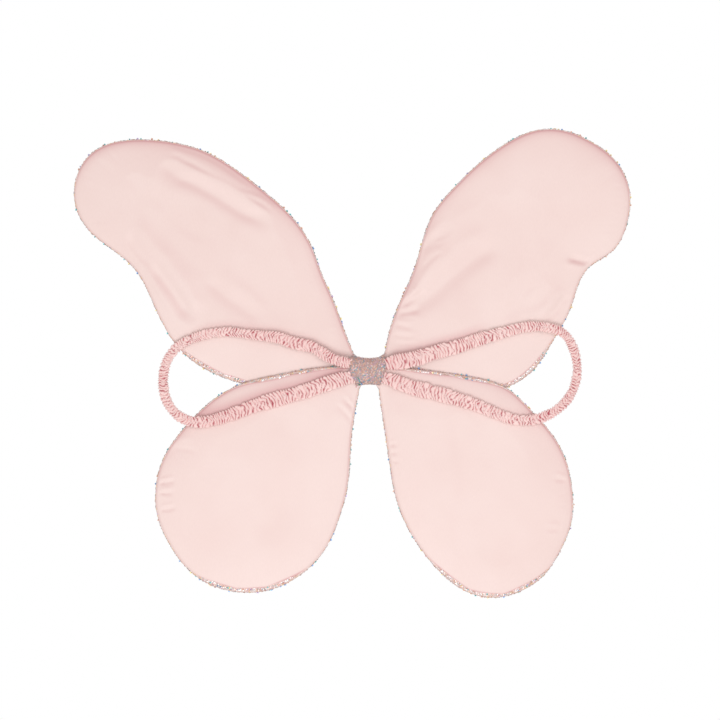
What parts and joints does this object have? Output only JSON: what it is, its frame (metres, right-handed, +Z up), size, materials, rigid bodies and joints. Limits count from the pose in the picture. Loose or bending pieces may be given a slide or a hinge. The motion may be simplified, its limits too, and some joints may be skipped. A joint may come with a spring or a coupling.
{
  "type": "fairy wings",
  "caption": "Dress-up fairy wings: padded wire-edged lobes with a satin back and sequinned front, a glittery centre band and gathered elastic arm straps.",
  "frame": {"origin": "on the wearer's-side face of the centre band, at the middle of the wings", "axes": "+Z up as worn; -Y towards the wearer's back (the satin side); +X to the right seen from the wearer's side"},
  "size_m": [0.5584, 0.0196, 0.4701],
  "materials": {
    "pink_satin": "soft sheen",
    "sequin_fabric": "iridescent sequins on peach-pink net",
    "wadding": "fluffy matt",
    "steel_wire": "bright drawn",
    "elastic": "woven matt",
    "binding_tape": "matt",
    "thread": "soft sheen"
  },
  "bodies": {
    "centre": {"centre_band": "sequin_fabric", "wire_stems": "steel_wire", "stem_tape": "binding_tape", "gathered_fabric_ends": "pink_satin", "left_strap_ends": "pink_satin", "right_strap_ends": "pink_satin", "strap_bar_tacks": "thread", "band_closing_stitches": "thread"},
    "left_upper_lobe": {"left_upper_wire": "steel_wire", "left_upper_wadding": "wadding", "left_upper_satin_back": "pink_satin", "left_upper_sequin_front": "sequin_fabric", "left_upper_rolled_edge": "sequin_fabric"},
    "left_lower_lobe": {"left_lower_wire": "steel_wire", "left_lower_wadding": "wadding", "left_lower_satin_back": "pink_satin", "left_lower_sequin_front": "sequin_fabric", "left_lower_rolled_edge": "sequin_fabric"},
    "right_upper_lobe": {"right_upper_wire": "steel_wire", "right_upper_wadding": "wadding", "right_upper_satin_back": "pink_satin", "right_upper_sequin_front": "sequin_fabric", "right_upper_rolled_edge": "sequin_fabric"},
    "right_lower_lobe": {"right_lower_wire": "steel_wire", "right_lower_wadding": "wadding", "right_lower_satin_back": "pink_satin", "right_lower_sequin_front": "sequin_fabric", "right_lower_rolled_edge": "sequin_fabric"},
    "left_strap": {"left_strap_casing": "pink_satin", "left_strap_elastic": "elastic"},
    "right_strap": {"right_strap_casing": "pink_satin", "right_strap_elastic": "elastic"}
  },
  "joints": [
    {"name": "left_upper_fold", "type": "hinge", "parent": "centre", "child": "left_upper_lobe", "pos_m": [-0.0196, 0.0168, 0], "axis": [0, 0, -1], "range_deg": [0, 80]},
    {"name": "left_lower_fold", "type": "hinge", "parent": "centre", "child": "left_lower_lobe", "pos_m": [-0.0196, 0.0168, 0], "axis": [0, 0, -1], "range_deg": [0, 80]},
    {"name": "right_upper_fold", "type": "hinge", "parent": "centre", "child": "right_upper_lobe", "pos_m": [0.0196, 0.0168, 0], "axis": [0, 0, 1], "range_deg": [0, 80]},
    {"name": "right_lower_fold", "type": "hinge", "parent": "centre", "child": "right_lower_lobe", "pos_m": [0.0196, 0.0168, 0], "axis": [0, 0, 1], "range_deg": [0, 80]},
    {"name": "left_strap_swing", "type": "hinge", "parent": "centre", "child": "left_strap", "pos_m": [-0.0196, 0.0008, 0], "axis": [0, 0, 1], "range_deg": [0, 90]},
    {"name": "right_strap_swing", "type": "hinge", "parent": "centre", "child": "right_strap", "pos_m": [0.0196, 0.0008, 0], "axis": [0, 0, -1], "range_deg": [0, 90]}
  ],
  "couplings": [
    {"joint": "left_lower_fold", "follows": "left_upper_fold", "ratio": 1},
    {"joint": "right_lower_fold", "follows": "right_upper_fold", "ratio": 1}
  ]
}
